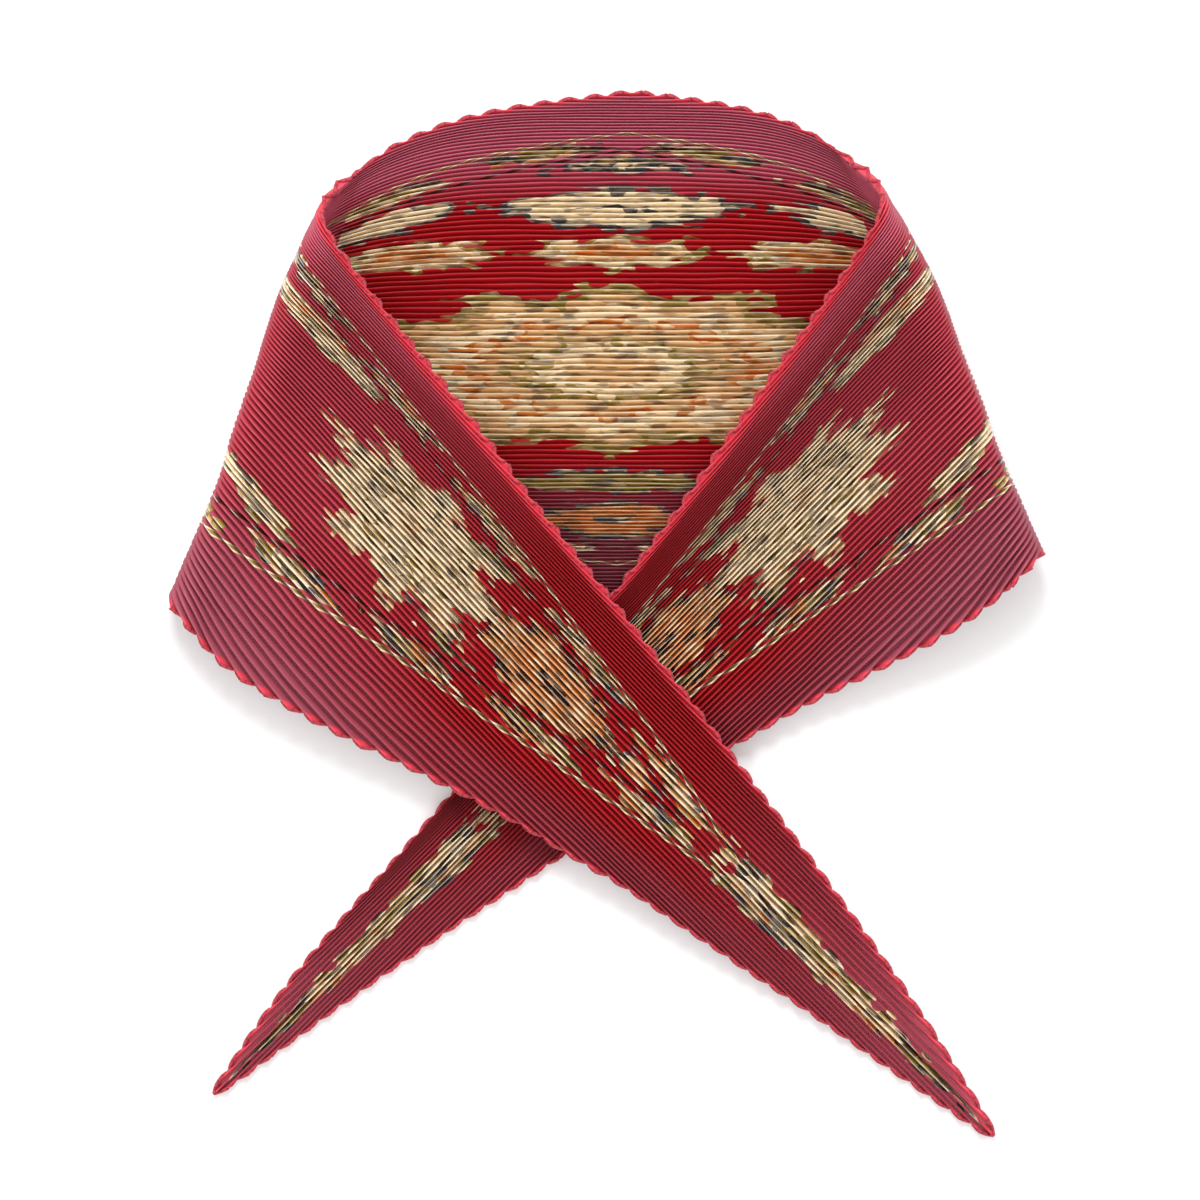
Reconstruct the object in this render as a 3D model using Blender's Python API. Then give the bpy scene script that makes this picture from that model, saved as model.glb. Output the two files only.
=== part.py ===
"""Pleated silk square, laid on its back with its two ends crossed in front.

The cloth is a square cut on its straight grain and pleated parallel to one diagonal, so it closes up
into a long rhombus.  Every pleat is followed as a path: it starts in the middle of the back, lies on
the surface, goes round a soft side fold and runs down the front towards its end on the hem.  Each
stretch of the cloth is a ply between neighbouring paths, ridged on its outer face and plain inside.

Units are metres, +Z is up, X runs across the scarf and Y from its ends to its neck.
"""

import math

import bmesh
import bpy
import numpy as np

MM = 0.001

# ---- the cloth --------------------------------------------------------------------------------
CLOTH_SIDE = 902 * MM
HALF_DIAGONAL = CLOTH_SIDE / math.sqrt(2)
PLEATS = 116
LINES = 2 * PLEATS                 # a valley line and a ridge line for each pleat
PLY = 3.6 * MM                     # over the ridges
GROOVE_DEPTH = 2.0 * MM            # where the pleats stand wide apart
GROOVE_PER_PITCH = 0.9             # where they are drawn together
RIDGE_LEAN = 0.25                  # share of the pitch by which ridges lean to the neck
TOOTH = 9 * MM                     # by which every other line runs past the hem
BLUNT_CORNER = 2 * MM
SEAM_GAP = 0.3 * MM
SHORTEST_ROW = 3 * MM

# ---- the middle of the back, in millimetres -----------------------------------------------------
# w is the pleat: 1 at the neck corner of the square and -1 at its outer corner.
MIDDLE = {
    "w": (1.00, 0.69, 0.345, 0.00, -0.30, -0.70, -1.00),
    "x": (11.9, 9.0, 5.0, 3.0, 3.0, 5.0, 6.0),
    "y": (229.9, 205.3, 161.3, 111.0, 68.2, 28.6, 1.0),
}

# ---- the two sides, seen from above, in millimetres and degrees ---------------------------------
# neck and corner are the ends of the side fold's outline, and nose is how deep its rounding is.
# loop_height is that of the plain face at the neck end and at the corner end of the fold.
# For each pleat w, along is its place on the outline and bow how far it stands out from it there;
# start and end are its headings below level, at the fold and at the hem of the front panel.
# fall_to is the height of the front's plain face, fall_at so far from the top of the loop.
LEFT = {
    "sign": -1,
    "neck": (-127.2, 177.1),
    "corner": (-193.6, 7.3),
    "nose": 16.0,
    "loop_height": (24.0, 18.0),
    "w": (1.00, 0.776, 0.68, 0.50, 0.25, 0.10, 0.00, -0.24, -0.34, -0.50, -0.60, -0.68, -1.00),
    "along": (-17.7, 0.0, 7.5, 22.0, 44.4, 61.0, 72.6, 108.6, 123.6, 150.9, 168.0, 182.3, 238.0),
    "bow": (-1.0, -1.0, -0.9, -0.6, 0.2, -0.7, -1.5, -3.0, -4.5, -3.8, -2.6, -1.6, -1.0),
    "start": (56.0, 55.0, 49.0, 46.8, 46.4, 46.6, 47.6, 48.4, 49.0, 54.0, 61.0, 66.0, 70.0),
    "end": (56.0, 55.0, 48.6, 46.6, 45.0, 44.8, 44.8, 43.2, 42.5, 42.0, 49.0, 54.0, 55.0),
    "fall_at": (0.0, 90.0, 180.0, 270.0, 330.0, 390.0, 600.0),
    "fall_to": (None, 17.0, 13.4, 9.9, 4.2, 0.0, 0.0),
}
RIGHT = {
    "sign": 1,
    "neck": (123.6, 181.9),
    "corner": (191.8, 25.7),
    "nose": 18.0,
    "loop_height": (32.0, 28.0),
    "w": (1.00, 0.805, 0.70, 0.50, 0.25, 0.10, 0.00, -0.24, -0.35, -0.50, -0.60, -0.70, -1.00),
    "along": (-15.4, 0.0, 8.3, 24.2, 45.8, 61.5, 71.3, 103.9, 118.8, 140.8, 155.7, 170.5, 218.0),
    "bow": (0.0, 0.0, 0.9, 2.4, 3.8, 3.2, 2.6, 1.6, 0.2, 0.0, 0.2, 0.8, 1.0),
    "start": (57.0, 56.0, 51.0, 48.7, 46.4, 45.2, 45.4, 45.4, 46.0, 48.0, 54.0, 60.0, 62.0),
    "end": (57.0, 56.0, 50.6, 48.5, 45.8, 44.4, 44.8, 43.4, 43.0, 42.0, 46.0, 50.0, 52.0),
    "fall_at": (0.0, 68.0, 136.0, 204.0, 272.0, 600.0),
    "fall_to": (None, 16.0, 6.9, 2.9, 0.0, 0.0),
}
ORIGIN = (-0.2, -1.4)              # the middle of the outline, on the tables' plan

CORNER_W, NECK_W = -0.7, 0.8       # pleats at the two ends of a side fold
LOOP_EXTRA = 6.0 * MM              # by which a pleat shifts along the fold in going round it
LOOP_SWING = 4.4                   # noses of reach for the curve of a side fold
LOOP_CLOTH = 3.2                   # noses of cloth taken up by it
DIP_POWER = 3.8                    # how late a pleat of the back bends down to the side fold
SHORTEST_FRONT = 60 * MM           # over which a pleat's heading changes
TAIL_START = 455 * MM              # along the cloth from the middle of the back
PATH_STEP = 3 * MM                 # of the followed paths, before they are cut into columns
BACK_SAMPLES = 40
LOOP_SAMPLES = 25

BACK_SHARES = (0.6, 1.0)           # of the way from the middle of the back, for its columns
FOLD_COLUMNS = 4
FRONT_COLUMNS = 4
TAIL_COLUMNS = 3

RED = (0.42, 0.012, 0.03, 1.0)


def smooth(rows, column, w):
    """Value of a table's column at w, on a cubic through its rows."""
    ws = np.array(rows["w"])[::-1]
    values = np.array(rows[column])[::-1]
    slopes = np.gradient(values, ws)
    i = int(np.clip(np.searchsorted(ws, w) - 1, 0, len(ws) - 2))
    span = ws[i + 1] - ws[i]
    t = (w - ws[i]) / span
    return (values[i] * (1 + 2 * t) * (1 - t) ** 2 + values[i + 1] * t * t * (3 - 2 * t)
            + span * (slopes[i] * t * (1 - t) ** 2 - slopes[i + 1] * t * t * (1 - t)))


def middle(w):
    """Where the pleat at w crosses the middle of the back, at half the ply's height."""
    return np.array((smooth(MIDDLE, "x", w) * MM, smooth(MIDDLE, "y", w) * MM, PLY / 2))


def heading(side, degrees):
    """Unit direction on the front, so many degrees below level and towards the other side."""
    angle = math.radians(degrees)
    return np.array((-side["sign"] * math.cos(angle), -math.sin(angle), 0.0))


def fold_axis(side):
    """Neck end and unit direction of the side fold's outline, as plan vectors."""
    neck = np.array((*side["neck"], 0.0)) * MM
    corner = np.array((*side["corner"], 0.0)) * MM
    return neck, (corner - neck) / np.linalg.norm(corner - neck)


def fall(side, loop_height, distances):
    """Heights of the front's plain face, so far along a pleat from the top of the loop."""
    heights = np.array((loop_height, *side["fall_to"][1:])) * MM
    return np.interp(distances, np.array(side["fall_at"]) * MM, heights)


def turn(start, start_way, end, end_way):
    """Cubic curve from one point and direction to another."""
    t = np.linspace(0, 1, LOOP_SAMPLES)[:, None]
    return (start * (1 + 2 * t) * (1 - t) ** 2 + end * t * t * (3 - 2 * t)
            + start_way * t * (1 - t) ** 2 - end_way * t * t * (1 - t))


def pleat_path(w, side):
    """Middle of the ply along one pleat, with the lengths at which its side fold starts and ends."""
    neck, axis = fold_axis(side)
    nose = side["nose"] * MM
    outward = np.array((axis[1], -axis[0], 0.0)) * -side["sign"]
    silhouette = (neck + axis * smooth(side, "along", w) * MM
                  + outward * smooth(side, "bow", w) * MM)

    # the back: from its middle to the foot of the loop, level at first and then bending down
    origin = middle(w)
    reach, drop = (silhouette - axis * LOOP_EXTRA - origin)[:2]
    inward = nose / abs(np.cross(axis[:2], (1.0, 0.0)))
    share = np.linspace(0, 1 - inward / abs(reach), BACK_SAMPLES)[:, None]
    back = np.hstack((origin[0] + reach * share,
                      origin[1] + drop * share ** DIP_POWER,
                      np.full_like(share, PLY / 2)))
    foot = back[-1]
    back_way = np.array((reach, DIP_POWER * drop * share[-1, 0] ** (DIP_POWER - 1), 0.0))
    back_way /= np.linalg.norm(back_way)

    # the front: from the top of the loop to past the hem, on a steady curve
    start_degrees = smooth(side, "start", w)
    first_way = heading(side, start_degrees)
    top = silhouette + first_way * nose / abs(np.cross(axis[:2], first_way[:2]))
    whole = HALF_DIAGONAL * (1 - abs(w)) + TOOTH + 2 * PATH_STEP
    steps = np.arange(0, whole, PATH_STEP)
    front_length = max(whole - abs(foot[0]) - LOOP_CLOTH * nose, SHORTEST_FRONT)
    degrees = np.interp(steps, (0, front_length), (start_degrees, smooth(side, "end", w)))
    front = [top]
    for angle in degrees:
        front.append(front[-1] + heading(side, angle) * PATH_STEP)
    front = np.array(front)
    height = np.interp(w, (CORNER_W, NECK_W), side["loop_height"][::-1])
    front[:, 2] = fall(side, height, np.append(steps, steps[-1] + PATH_STEP)) + PLY / 2

    swing = LOOP_SWING * nose
    slope = (front[1, 2] - front[0, 2]) / PATH_STEP
    loop = turn(foot, back_way * swing, front[0], (first_way + (0, 0, slope)) * swing)
    points = np.vstack((back, loop[1:-1], front)) - (ORIGIN[0] * MM, ORIGIN[1] * MM, 0)
    lengths = np.concatenate(((0,), np.cumsum(np.linalg.norm(np.diff(points, axis=0), axis=1))))
    return {"points": points, "lengths": lengths,
            "foot": lengths[len(back) - 1], "top": lengths[len(back) + len(loop) - 2]}


def at(path, length):
    """Point and direction at a length along a path."""
    before, here, after = [np.array([np.interp(length + step, path["lengths"], path["points"][:, i])
                                     for i in range(3)]) for step in (-MM, 0, MM)]
    return here, (after - before) / np.linalg.norm(after - before)


def line_w(line):
    return 1 - 2 * line / LINES


def hem_length(line):
    """Length of a line from the middle of the back to the hem."""
    return max(HALF_DIAGONAL * (1 - abs(line_w(line))), BLUNT_CORNER)


def tooth(line):
    """Length by which a line runs past the hem: ridges do on the neck side, valleys on the other."""
    runs_long = (line % 2 == 1) == (line < PLEATS)
    at_corner = line in (0, PLEATS, LINES)
    return TOOTH if runs_long and not at_corner else 0.0


PATHS = {side["sign"]: [pleat_path(line_w(line), side) for line in range(LINES + 1)]
         for side in (LEFT, RIGHT)}


def back_columns():
    """Points, directions and teeth of the back, a row for each line and a column for each station."""
    shares = (0.0, *BACK_SHARES)
    stations = [(-1, share) for share in shares[:0:-1]] + [(1, share) for share in shares]
    points = np.zeros((LINES + 1, len(stations), 3))
    ways = np.zeros_like(points)
    teeth = np.zeros((LINES + 1, 2))
    for line in range(LINES + 1):
        hem = hem_length(line)
        feet = {sign: PATHS[sign][line]["foot"] - SEAM_GAP / 2 for sign in (-1, 1)}
        for column, (sign, share) in enumerate(stations):
            points[line, column], way = at(PATHS[sign][line], min(feet[sign], hem) * share)
            ways[line, column] = way * sign
        teeth[line] = [max(min(feet[sign] - hem, tooth(line)), 0) for sign in (-1, 1)]
    return points, ways, teeth


def side_columns(side, start, end, columns):
    """The same for a stretch of one side, on the lines that reach past its start."""
    paths = PATHS[side["sign"]]
    rows = []
    for line, path in enumerate(paths):
        first = start(path) + SEAM_GAP / 2
        last = end(path) - SEAM_GAP / 2
        if min(last, hem_length(line)) - first > SHORTEST_ROW:
            rows.append((line, first, last))
    rows = rows[rows[0][0] % 2:len(rows) - rows[-1][0] % 2]       # from one valley to another
    points = np.zeros((len(rows), columns + 1, 3))
    ways = np.zeros_like(points)
    teeth = np.zeros((len(rows), 2))
    for i, (line, first, last) in enumerate(rows):
        hem = hem_length(line)
        for j, length in enumerate(np.linspace(first, min(last, hem), columns + 1)):
            points[i, j], ways[i, j] = at(paths[line], length)
        teeth[i, 1] = max(min(last - hem, tooth(line)), 0)
    return points, ways, teeth


def unit(vectors):
    return vectors / np.linalg.norm(vectors, axis=-1, keepdims=True)


def faces_of_ply(points, ways, teeth, sign):
    """Points of the ridged outer face and of the plain inner face of a ply, from its middle."""
    to_next_line = -np.gradient(points, axis=0)          # towards the neck
    across = to_next_line - ways * np.sum(to_next_line * ways, axis=-1, keepdims=True)
    pitch = 2 * np.linalg.norm(across, axis=-1, keepdims=True)
    out = unit(np.cross(ways, across)) * sign
    groove = np.minimum(GROOVE_DEPTH, GROOVE_PER_PITCH * pitch)
    ridged = points + out * (PLY / 2 - groove)
    ridged[1::2] = (points + out * PLY / 2 + 2 * RIDGE_LEAN * to_next_line)[1::2]
    plain = points - out * PLY / 2
    for face in (ridged, plain):
        face[:, 0] -= ways[:, 0] * teeth[:, :1]
        face[:, -1] += ways[:, -1] * teeth[:, 1:]
        face[:, :, 2] = np.maximum(face[:, :, 2], 0.0)   # it lies on the floor, not in it
    return ridged, plain


def grid_faces(index, flip):
    """Two triangles for every cell of a grid of vertex numbers."""
    faces = []
    for i in range(index.shape[0] - 1):
        for j in range(index.shape[1] - 1):
            a, b, c, d = index[i, j], index[i, j + 1], index[i + 1, j + 1], index[i + 1, j]
            faces += [(a, c, b), (a, d, c)] if flip else [(a, b, c), (a, c, d)]
    return faces


def rim_faces(outer, plain):
    """Faces along one end of a ply, where a plain edge meets two outer ones for each pleat."""
    faces = []
    for i in range(len(plain) - 1):
        valley, ridge, next_valley = outer[2 * i:2 * i + 3]
        faces += [(plain[i], valley, ridge), (plain[i], ridge, plain[i + 1]),
                  (plain[i + 1], ridge, next_valley)]
    return faces


def ply_mesh(name, points, ways, teeth, sign, flat_below):
    """Closed mesh of one stretch: ridged outer face, plain inner face and the rims between."""
    ridged, plain = faces_of_ply(points, ways, teeth, sign)
    plain = plain[::2]
    if flat_below:
        plain[:, :, 2] = 0.0
    rows, columns = ridged.shape[:2]
    outer = np.arange(rows * columns).reshape(rows, columns)
    inner = np.arange(len(plain) * columns).reshape(len(plain), columns) + rows * columns
    faces = grid_faces(outer, False)
    faces += rim_faces(outer[:, 0], inner[:, 0])
    faces += rim_faces(outer[:, -1], inner[:, -1])
    for row in (0, -1):
        faces += grid_faces(np.array((outer[row], inner[row])), False)
    if flat_below:
        faces.append((*inner[:, 0], *inner[-1, 1:-1], *inner[::-1, -1], *inner[0, -2:0:-1]))
    else:
        faces += grid_faces(inner, True)
    vertices = np.vstack((ridged.reshape(-1, 3), plain.reshape(-1, 3)))
    used = sorted({vertex for face in faces for vertex in face})
    number = {vertex: i for i, vertex in enumerate(used)}
    mesh = bpy.data.meshes.new(name)
    mesh.from_pydata(vertices[used].tolist(), [], [[number[v] for v in face] for face in faces])
    mesh.update()
    return mesh


def silk(name, colour):
    material = bpy.data.materials.new(name)
    material.use_nodes = True
    shader = material.node_tree.nodes["Principled BSDF"]
    shader.inputs["Base Color"].default_value = colour
    shader.inputs["Roughness"].default_value = 0.45
    shader.inputs["Metallic"].default_value = 0.0
    return material


def add_stretch(collection, name, mesh, material):
    """Object for one stretch of the cloth, with its faces turned outwards."""
    cloth = bpy.data.objects.new(name, mesh)
    collection.objects.link(cloth)
    mesh.materials.append(material)
    work = bmesh.new()
    work.from_mesh(mesh)
    bmesh.ops.recalc_face_normals(work, faces=work.faces)
    bmesh.ops.triangulate(work, faces=[face for face in work.faces if len(face.verts) > 3])
    if work.calc_volume(signed=True) < 0:
        bmesh.ops.reverse_faces(work, faces=work.faces)
    work.to_mesh(mesh)
    work.free()
    return cloth


def build_back(collection, material):
    """The back: lines from the foot of one side fold to the foot of the other, flat below."""
    points, ways, teeth = back_columns()
    mesh = ply_mesh("back", points, ways, teeth, 1, True)
    return add_stretch(collection, "back", mesh, material)


def build_side(collection, material, side, names):
    """Side fold, front panel and tail of one side."""
    fold, front, tail = names
    stretches = (
        (fold, lambda path: path["foot"], lambda path: path["top"], FOLD_COLUMNS),
        (front, lambda path: path["top"], lambda path: TAIL_START, FRONT_COLUMNS),
        (tail, lambda path: TAIL_START, lambda path: path["lengths"][-1], TAIL_COLUMNS),
    )
    for name, start, end, columns in stretches:
        points, ways, teeth = side_columns(side, start, end, columns)
        mesh = ply_mesh(name, points, ways, teeth, -side["sign"], False)
        add_stretch(collection, name, mesh, material)


def main():
    for thing in list(bpy.data.objects):
        bpy.data.objects.remove(thing, do_unlink=True)
    collection = bpy.data.collections.new("pleated_silk_scarf")
    bpy.context.scene.collection.children.link(collection)
    material = silk("silk_red", RED)
    build_back(collection, material)
    build_side(collection, material, LEFT, ("left_side_fold", "left_front_panel", "right_hand_tail"))
    build_side(collection, material, RIGHT, ("right_side_fold", "right_front_panel", "left_hand_tail"))


main()
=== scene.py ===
"""Looks of the pleated silk scarf: its fine pleats, its printed silk, its rolled hem and the studio.

The cloth is one square.  A place on it is given by u, the length along a pleat from the square's
diagonal, and v, the distance across the pleats.  Every pleat follows the same path as in the solids:
the middle of the back, a soft side fold and the front, to its end on the hem.  Here each pleat is a
real fold of the cloth, and the print is laid out on the flat square, so the pleats chop it up.
"""

import functools
import math

import bpy
import numpy as np
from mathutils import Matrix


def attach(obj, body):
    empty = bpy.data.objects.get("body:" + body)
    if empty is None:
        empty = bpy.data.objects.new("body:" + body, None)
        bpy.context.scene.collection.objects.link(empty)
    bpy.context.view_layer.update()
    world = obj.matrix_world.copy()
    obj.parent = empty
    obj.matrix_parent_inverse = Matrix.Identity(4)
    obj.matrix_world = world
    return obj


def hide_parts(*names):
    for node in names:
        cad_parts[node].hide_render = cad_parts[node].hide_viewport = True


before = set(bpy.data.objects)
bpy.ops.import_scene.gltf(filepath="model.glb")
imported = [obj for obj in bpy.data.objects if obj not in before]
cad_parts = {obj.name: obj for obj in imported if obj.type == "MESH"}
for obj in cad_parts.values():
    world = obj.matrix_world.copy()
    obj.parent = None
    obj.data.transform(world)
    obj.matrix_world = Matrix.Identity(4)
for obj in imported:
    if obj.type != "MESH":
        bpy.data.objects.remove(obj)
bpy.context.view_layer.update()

bl_info = {
    "name": "Pleated silk scarf",
    "version": (1, 0, 0),
    "blender": (4, 5, 0),
    "location": "3D View > Sidebar > Scarf",
    "description": "Builds a pleated, printed silk square laid flat with its ends crossed",
    "category": "Add Mesh",
}

MM = 0.001
BODY = "root"

# ---- the cloth, as in the solids ----
CLOTH_SIDE = 902 * MM
HALF_DIAGONAL = CLOTH_SIDE / math.sqrt(2)
PLEATS = 116
PLY = 3.6 * MM
BLUNT_CORNER = 2 * MM  # the least length of a pleat, at the other two corners
BLUNT_END = 6 * MM  # by which the two long ends are rounded off

# ---- the middle of the back, in millimetres: w is 1 at the neck corner and -1 at the outer one ----
MIDDLE = {
    "w": (1.00, 0.69, 0.345, 0.00, -0.30, -0.70, -1.00),
    "x": (11.9, 9.0, 5.0, 3.0, 3.0, 5.0, 6.0),
    "y": (229.9, 205.3, 161.3, 111.0, 68.2, 28.6, 1.0),
}

# ---- the two sides, in millimetres and degrees ----
# neck and corner are the ends of the side fold's outline, and nose is how deep its rounding is.
# For each pleat w, along is its place on the outline and bow how far it stands out from it there;
# start and end are its headings below level, at the fold and at the hem of the front panel.
# fall_to is the height of the front's lower face, fall_at so far from the top of the loop.
LEFT = {
    "sign": -1,
    "neck": (-127.2, 177.1),
    "corner": (-193.6, 7.3),
    "nose": 16.0,
    "loop_height": (24.0, 18.0),
    "w": (1.00, 0.776, 0.68, 0.50, 0.25, 0.10, 0.00, -0.24, -0.34, -0.50, -0.60, -0.68, -1.00),
    "along": (-17.7, 0.0, 7.5, 22.0, 44.4, 61.0, 72.6, 108.6, 123.6, 150.9, 168.0, 182.3, 238.0),
    "bow": (-1.0, -1.0, -0.9, -0.6, 0.2, -0.7, -1.5, -3.0, -4.5, -3.8, -2.6, -1.6, -1.0),
    "start": (56.0, 55.0, 49.0, 46.8, 46.4, 46.6, 47.6, 48.4, 49.0, 54.0, 61.0, 66.0, 70.0),
    "end": (56.0, 55.0, 48.6, 46.6, 45.0, 44.8, 44.8, 43.2, 42.5, 42.0, 49.0, 54.0, 55.0),
    "fall_at": (0.0, 90.0, 180.0, 270.0, 330.0, 390.0, 600.0),
    "fall_to": (None, 17.0, 13.4, 9.9, 4.2, 0.0, 0.0),
}
RIGHT = {
    "sign": 1,
    "neck": (123.6, 181.9),
    "corner": (191.8, 25.7),
    "nose": 18.0,
    "loop_height": (32.0, 28.0),
    "w": (1.00, 0.805, 0.70, 0.50, 0.25, 0.10, 0.00, -0.24, -0.35, -0.50, -0.60, -0.70, -1.00),
    "along": (-15.4, 0.0, 8.3, 24.2, 45.8, 61.5, 71.3, 103.9, 118.8, 140.8, 155.7, 170.5, 218.0),
    "bow": (0.0, 0.0, 0.9, 2.4, 3.8, 3.2, 2.6, 1.6, 0.2, 0.0, 0.2, 0.8, 1.0),
    "start": (57.0, 56.0, 51.0, 48.7, 46.4, 45.2, 45.4, 45.4, 46.0, 48.0, 54.0, 60.0, 62.0),
    "end": (57.0, 56.0, 50.6, 48.5, 45.8, 44.4, 44.8, 43.4, 43.0, 42.0, 46.0, 50.0, 52.0),
    "fall_at": (0.0, 68.0, 136.0, 204.0, 272.0, 330.0, 600.0),
    "fall_to": (None, 16.0, 6.9, 2.9, 0.2, 0.0, 0.0),
}
SIDES = {-1: LEFT, 1: RIGHT}
ORIGIN = (-0.2, -1.4)  # the middle of the outline, on the tables' plan

CORNER_W, NECK_W = -0.7, 0.8  # pleats at the two ends of a side fold
LOOP_EXTRA = 6.0 * MM  # by which a pleat shifts along the fold in going round it
LOOP_SWING = 4.4  # noses of reach for the curve of a side fold
LOOP_CLOTH = 3.2  # noses of cloth taken up by it
DIP_POWER = 3.8  # how late a pleat of the back bends down to the side fold
SHORTEST_FRONT = 60 * MM  # over which a pleat's heading changes
TAIL_START = 455 * MM  # along the cloth from the middle of the back
PATH_STEP = 2 * MM
BACK_SAMPLES = 60
LOOP_SAMPLES = 40
SPARE_STEP = 2 * MM  # longest spare step beyond the ends of a grid, for its normals

# ---- the fine pleats ----
# Rows of a pleat: its phase from one valley of the back to the next, and its height there.
PHASES = (0.0, 0.18, 0.38, 0.5, 0.62, 0.82)
HEIGHTS = (0.0, 0.42, 0.86, 1.0, 0.86, 0.42)
ROWS = PLEATS * len(PHASES) + 1
CLEARANCE = 0.1 * MM  # between the floor and the lowest valleys
FLARE = 30 * MM  # over which a pleat opens before the hem
PRESSED = 60 * MM  # over which the pleats are flatter before the hem at the neck
SEAM_FADE = 12 * MM  # over which the hem's waves fade out at the seam of the back and a fold
LEAST_END = 0.3 * MM  # the shortest end of a pleat that is still made
WAVES = (31.0, 53.0, 97.0)  # lengths of the pleats' small wanderings, in millimetres
SWELLS = ((140.0, 17.0), (230.0, -29.0), (90.0, 11.0))  # length along, and pleats across
SWELL_SHARE = 0.8  # of the swells in how pleats stray, next to the wanderings
LINE_SEED, DEPTH_SEED = 3, 11  # of the wanderings of the pleats' lines and of their depth
RUFFLE_AT = (110 * MM, 190 * MM, 350 * MM, 460 * MM)  # lengths of pleats that end at the neck
RUFFLE = (0.35, 1.0, 1.0, 0.3)  # and how wavy the hem is there
CREST_MIDDLE = 0.4  # crests above this share stand out at a hem, the rest stays back
LEAN_LOST = 1.2  # share of the lean that a wavy hem takes away
NARROW_PITCH = 2.3 * MM  # pleats narrower than this are shallower
NARROW_LOSS, PRESSED_LOSS, WAVY_LOSS = 0.08, 0.25, 0.55  # shares of the depth lost
DEPTH_STRAY = 0.05  # share of the depth that strays

# Faces along a pleat in each stretch of cloth, and around the rolled hem.
BACK_COLUMNS, FOLD_COLUMNS, FRONT_COLUMNS, TAIL_COLUMNS = 84, 18, 66, 44
HEM_SIDES = 6

# ---- the view of the photograph ----
VIEW_MIDDLE = (-2.0 * MM, 8.66 * MM)
VIEW_WIDTH = 528 * MM
CAMERA_HEIGHT = 5.0
SENSOR_WIDTH = 36.0  # of the camera, in millimetres
FLOOR_SIZE = 12.0
ROOM_LIGHT = 0.98
# Square soft lights: name, place, size and energy.
LIGHTS = (
    ("key_light", (-0.15, 1.35, 1.50), 0.8, 30.0),
    ("low_left_light", (-1.30, -0.90, 0.75), 1.2, 6.0),
    ("low_right_light", (1.30, -0.90, 0.75), 1.2, 6.0),
)


def length_setting(name, description, default, least, most):
    """A length that a user can change, in metres."""
    return bpy.props.FloatProperty(name=name, description=description, default=default,
                                   min=least, max=most, unit="LENGTH")


def pleat_setting(name, description, default, most):
    """A share of a pleat that a user can change."""
    return bpy.props.FloatProperty(name=name, description=description, default=default,
                                   min=0.0, max=most, subtype="FACTOR")


def colour_setting(name, description, default):
    """A colour that a user can change."""
    return bpy.props.FloatVectorProperty(name=name, description=description, default=default,
                                         size=3, min=0, max=1, subtype="COLOR")


class ScarfSettings(bpy.types.PropertyGroup):
    """Sizes and colours of the scarf that a user would change."""

    pleat_depth: length_setting(
        "Pleat depth", "From a valley to a ridge", 4.1 * MM, 1 * MM, 6 * MM)
    pleat_lean: pleat_setting(
        "Pleat lean", "How far ridges lean to the neck, in pleats", 0.30, 0.45)
    wander: pleat_setting(
        "Wander", "How far pleats stray from their line, in pleats", 0.13, 0.3)
    hem_radius: length_setting(
        "Hem radius", "Half the thickness of the rolled hem", 0.9 * MM, 0.3 * MM, 2 * MM)
    lower_scallop: length_setting(
        "Lower scallop", "How far crests stand out at the lower hems", 0.9 * MM, 0.0, 4 * MM)
    neck_scallop: length_setting(
        "Neck scallop", "How far crests stand out at the neck edge", 3.4 * MM, 0.0, 6 * MM)
    frame_distance: length_setting(
        "Frame distance", "From the hem to the printed frame", 103 * MM, 20 * MM, 200 * MM)
    border_width: length_setting(
        "Border width", "From the outer frame line to the inner one", 38 * MM, 15 * MM, 100 * MM)
    red: colour_setting("Red", "Ground of the print", (0.41, 0.003, 0.009))
    # The next three colours are painted light rather than colours of the silk: a pale haze over the
    # ground towards the corners and ends, lighter valleys there so that they read less shaded, and a
    # lighter ground at the neck where the loop shades it.
    haze_red: colour_setting("Outer red", "The ground towards the corners", (0.262, 0.046, 0.070))
    valley_light_red: colour_setting(
        "Chalky red", "The ground in the valleys near the corners", (0.66, 0.19, 0.27))
    neck_light_red: colour_setting("Neck red", "The ground at the neck of the back", (0.54, 0.120, 0.182))
    hem_red: colour_setting("Hem red", "The rolled hem and its edge", (0.50, 0.036, 0.058))
    cream: colour_setting("Cream", "Palest ink of the print", (0.80, 0.65, 0.43))
    gold: colour_setting("Gold", "Olive gold ink", (0.34, 0.235, 0.055))
    tan: colour_setting("Tan", "Light brown ink", (0.66, 0.42, 0.20))
    amber: colour_setting("Amber", "Orange brown ink", (0.60, 0.20, 0.035))
    brown: colour_setting("Brown", "Dark brown ink", (0.075, 0.022, 0.010))
    slate: colour_setting("Slate", "Grey ink", (0.085, 0.085, 0.095))
    floor: colour_setting("Floor", "The surface that the scarf lies on", (0.80, 0.80, 0.80))


# ---- paths of the pleats ----

def curve_through(places, values, at):
    """Value at a place, or at several, on a cubic through points with rising places."""
    places, values, at = (np.asarray(x, dtype=float) for x in (places, values, at))
    slopes = np.gradient(values, places)
    i = np.clip(np.searchsorted(places, at) - 1, 0, len(places) - 2)
    span = places[i + 1] - places[i]
    t = (at - places[i]) / span
    return (values[i] * (1 + 2 * t) * (1 - t) ** 2 + values[i + 1] * t * t * (3 - 2 * t)
            + span * (slopes[i] * t * (1 - t) ** 2 - slopes[i + 1] * t * t * (1 - t)))


def smooth(rows, column, w):
    """Value of a table's column at the pleat w."""
    return curve_through(rows["w"][::-1], rows[column][::-1], w)


def middle(w):
    """Where the pleat at w crosses the middle of the back."""
    return np.array((smooth(MIDDLE, "x", w) * MM, smooth(MIDDLE, "y", w) * MM, PLY / 2))


def heading(side, degrees):
    """Unit direction on the front, so many degrees below level and towards the other side."""
    angle = math.radians(degrees)
    return np.array((-side["sign"] * math.cos(angle), -math.sin(angle), 0.0))


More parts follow.
